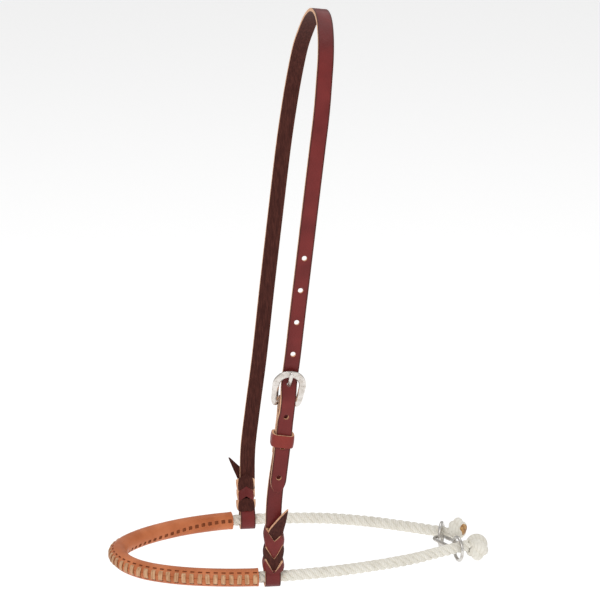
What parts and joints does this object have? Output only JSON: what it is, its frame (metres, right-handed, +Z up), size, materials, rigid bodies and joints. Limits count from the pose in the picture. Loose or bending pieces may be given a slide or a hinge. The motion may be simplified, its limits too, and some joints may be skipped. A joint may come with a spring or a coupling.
{
  "type": "bitless hackamore",
  "caption": "Covered rope noseband hung by laced strap ends in a narrow one-buckle headstall, with linked rings before its end knots.",
  "frame": {"origin": "middle of the crown strap's flesh side where it lies on the horse's poll", "axes": "+Z up, +X to the rear of the horse, -Y to its near (left) side, where the buckle is"},
  "size_m": [0.3126, 0.1841, 0.4619],
  "materials": {
    "strap_leather": "burgundy latigo leather, grain side out, dark flesh side, natural raw edges",
    "keeper_leather": "burgundy leather loop with a natural raw edge",
    "cover_leather": "russet harness leather, smooth, lightly waxed",
    "rawhide": "pale tan rawhide lace",
    "rope": "white three-strand laid synthetic rope",
    "thread": "waxed natural thread",
    "nickel": "nickel-plated steel, lightly brushed face"
  },
  "bodies": {
    "headstall": {"crown_strap": "strap_leather", "cheek_strap": "strap_leather", "fold_stitching": "thread", "off_bleed_knot": "strap_leather", "near_bleed_knot": "strap_leather", "off_knot_tail": "strap_leather", "near_knot_tail": "strap_leather"},
    "noseband": {"noseband_rope": "rope", "nose_cover": "cover_leather", "cover_lacing": "rawhide", "near_end_knot": "rope", "off_end_knot": "rope", "near_rope_loop": "strap_leather", "off_rope_loop": "strap_leather"},
    "near_ring": {"near_rope_ring": "nickel"},
    "off_ring": {"off_rope_ring": "nickel"},
    "link": {"centre_link": "nickel"},
    "buckle": {"buckle_frame": "nickel"},
    "tongue": {"buckle_tongue": "nickel"},
    "keeper": {"strap_keeper": "keeper_leather"}
  },
  "joints": [
    {"name": "noseband_rock", "type": "hinge", "parent": "headstall", "child": "noseband", "pos_m": [-0.04865, 0.00175, -0.446], "axis": [-0.0298, 0.9996, 0], "range_deg": [-15, 15]},
    {"name": "near_ring_tilt", "type": "hinge", "parent": "noseband", "child": "near_ring", "pos_m": [0.1133, -0.0188, -0.4474], "axis": [-0.1994, 0.9799, 0], "range_deg": [-12, 12]},
    {"name": "off_ring_tilt", "type": "hinge", "parent": "noseband", "child": "off_ring", "pos_m": [0.1055, 0.0175, -0.4474], "axis": [0.3338, 0.9426, 0], "range_deg": [-12, 12]},
    {"name": "link_swing", "type": "hinge", "parent": "near_ring", "child": "link", "pos_m": [0.10685, -0.00045, -0.4474], "axis": [-0.4524, 0.8918, 0], "range_deg": [-12, 12]},
    {"name": "buckle_tip", "type": "hinge", "parent": "headstall", "child": "buckle", "pos_m": [-0.03738, -0.08206, -0.29332], "axis": [0.9938, 0, -0.1115], "range_deg": [0, 8]},
    {"name": "tongue_lift", "type": "hinge", "parent": "buckle", "child": "tongue", "pos_m": [-0.03738, -0.08206, -0.29332], "axis": [0.9938, 0, -0.1115], "range_deg": [0, 4]},
    {"name": "keeper_slide", "type": "slide", "parent": "headstall", "child": "keeper", "axis": [0.1113, -0.0593, 0.992], "range_m": [-0.01, 0.01]}
  ],
  "couplings": [
    {"joint": "off_ring_tilt", "follows": "near_ring_tilt", "ratio": 1},
    {"joint": "link_swing", "follows": "near_ring_tilt", "ratio": 1}
  ]
}
